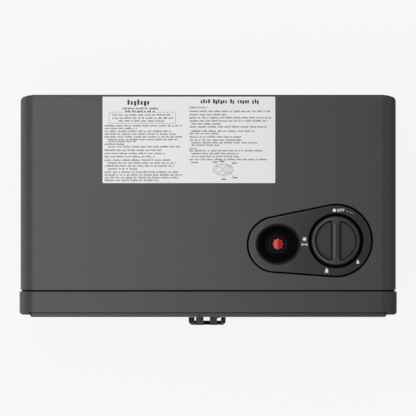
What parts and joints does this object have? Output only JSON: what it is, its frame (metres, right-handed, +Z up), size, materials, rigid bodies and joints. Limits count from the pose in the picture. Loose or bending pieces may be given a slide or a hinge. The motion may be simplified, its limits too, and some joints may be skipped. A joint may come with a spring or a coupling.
{
  "type": "portable propane water heater",
  "caption": "Flat portable gas water heater with a recessed control panel on top and water and gas connections behind a drop-down front door.",
  "frame": {"origin": "on the floor, under the middle of the whole object's box", "axes": "+Z up, -Y towards the door, +X to the right of someone facing the door"},
  "size_m": [0.37, 0.2258, 0.15],
  "materials": {
    "case_coat": "satin powder coat, dark grey",
    "frame_plastic": "fine-textured dark grey moulding",
    "door_plastic": "fine-textured dark grey moulding",
    "panel_plastic": "smooth darker grey moulding",
    "knob_plastic": "satin near-black moulding",
    "black_plastic": "matt black moulding",
    "pull_plastic": "semi-gloss black moulding",
    "button_red": "glossy red moulding",
    "label_film": "matt off-white printed film",
    "foot_rubber": "matt black rubber",
    "seal_foam": "closed-cell black foam",
    "panel_steel": "dark grey coated sheet",
    "grille_steel": "matt black heat-proof coat",
    "screw_steel": "zinc-plated steel",
    "sheet_steel": "plain stainless sheet",
    "magnet_ferrite": "sintered ferrite",
    "copper": "bright copper",
    "brass": "turned brass",
    "cast_aluminium": "die-cast, satin",
    "ceramic": "glazed white ceramic",
    "lead_silicone": "red silicone",
    "filter_plastic": "white nylon"
  },
  "bodies": {
    "root": {"upper_cover": "case_coat", "base_pan": "case_coat", "rear_panel": "panel_steel", "exhaust_grille": "grille_steel", "front_frame": "frame_plastic", "seam_gasket": "foot_rubber", "connection_bay": "black_plastic", "grip_cup_left": "black_plastic", "grip_cup_right": "black_plastic", "rubber_feet": "foot_rubber", "foot_screws": "screw_steel", "case_screws": "screw_steel", "bay_screws": "screw_steel", "label": "label_film", "door_magnets": "magnet_ferrite", "hinge_pins": "screw_steel", "control_panel": "panel_plastic", "knob_well": "black_plastic", "knob_spring": "screw_steel", "gas_valve": "cast_aluminium", "igniter_cup": "black_plastic", "igniter_body": "black_plastic", "igniter_nut": "black_plastic", "igniter_spring": "screw_steel", "igniter_lead": "lead_silicone", "gas_inlet_fitting": "brass", "gas_inlet_pipe": "copper", "gas_regulator": "cast_aluminium", "regulated_gas_pipe": "copper", "gas_feed_pipe": "copper", "gas_manifold": "sheet_steel", "injectors": "brass", "burner_bars": "sheet_steel", "burner_rack": "sheet_steel", "spark_electrode": "ceramic", "thermocouple": "copper", "thermocouple_lead": "copper", "combustion_chamber": "sheet_steel", "exchanger_fins": "copper", "exchanger_tube": "copper", "flue_hood": "sheet_steel", "overheat_sensor": "black_plastic", "water_inlet_fitting": "brass", "inlet_filter": "filter_plastic", "flow_valve": "brass", "drain_plug": "brass", "cold_pipe": "copper", "hot_pipe": "copper", "water_outlet_fitting": "brass"},
    "door": {"front_door": "door_plastic", "door_seal": "seal_foam", "strike_plates": "screw_steel", "pull_bracket": "pull_plastic", "bracket_screws": "screw_steel", "pull_pin": "screw_steel"},
    "pull": {"pull_bail": "pull_plastic"},
    "plunger": {"valve_plunger": "brass"},
    "knob": {"gas_knob": "knob_plastic", "valve_spindle": "brass"},
    "button": {"igniter_button": "button_red"}
  },
  "joints": [
    {"name": "door_hinge", "type": "hinge", "parent": "root", "child": "door", "pos_m": [0, -0.10285, 0.0365], "axis": [1, 0, 0], "range_deg": [0, 90]},
    {"name": "pull_hinge", "type": "hinge", "parent": "door", "child": "pull", "pos_m": [-0.001, -0.1108, 0.118], "axis": [-1, 0, 0], "range_deg": [0, 90]},
    {"name": "knob_push", "type": "slide", "parent": "root", "child": "plunger", "axis": [0, 0, -1], "range_m": [0, 0.003], "stiffness_N_per_m": 1500, "springref_m": -0.002, "deforming": ["knob_spring"]},
    {"name": "knob_turn", "type": "hinge", "parent": "plunger", "child": "knob", "pos_m": [0.125, -0.03005, 0.15], "axis": [0, 0, 1], "range_deg": [0, 225]},
    {"name": "igniter_push", "type": "slide", "parent": "root", "child": "button", "axis": [0, 0, -1], "range_m": [0, 0.005], "stiffness_N_per_m": 1200, "springref_m": -0.002, "deforming": ["igniter_spring"]}
  ]
}
